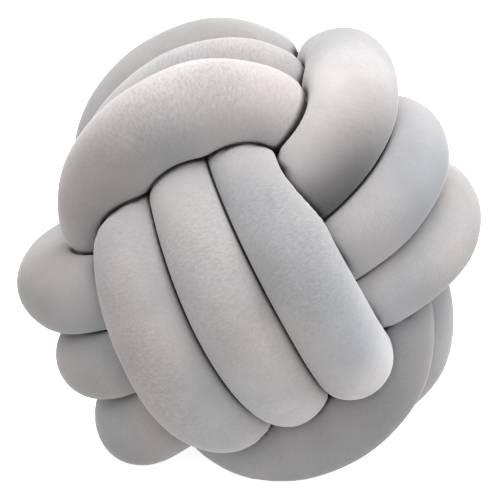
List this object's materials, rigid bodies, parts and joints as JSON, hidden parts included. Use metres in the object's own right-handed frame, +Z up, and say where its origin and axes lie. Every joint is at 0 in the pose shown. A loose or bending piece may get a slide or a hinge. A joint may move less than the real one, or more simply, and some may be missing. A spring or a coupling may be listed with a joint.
{
  "type": "knot cushion",
  "caption": "Round knot cushion: one filled plush tube tied into a ball of crossing bands, with a small flattened foot.",
  "frame": {"origin": "middle of the ball's box, on the surface that it rests on", "axes": "+Z up; -Y is the front, where the three wraps of the first band run down the face"},
  "size_m": [0.2936, 0.2704, 0.2759],
  "materials": {
    "grey_plush": "short pale grey pile, matt, with a soft sheen towards its edges"
  },
  "bodies": {
    "root": {"knot_tube": "grey_plush"}
  },
  "joints": []
}
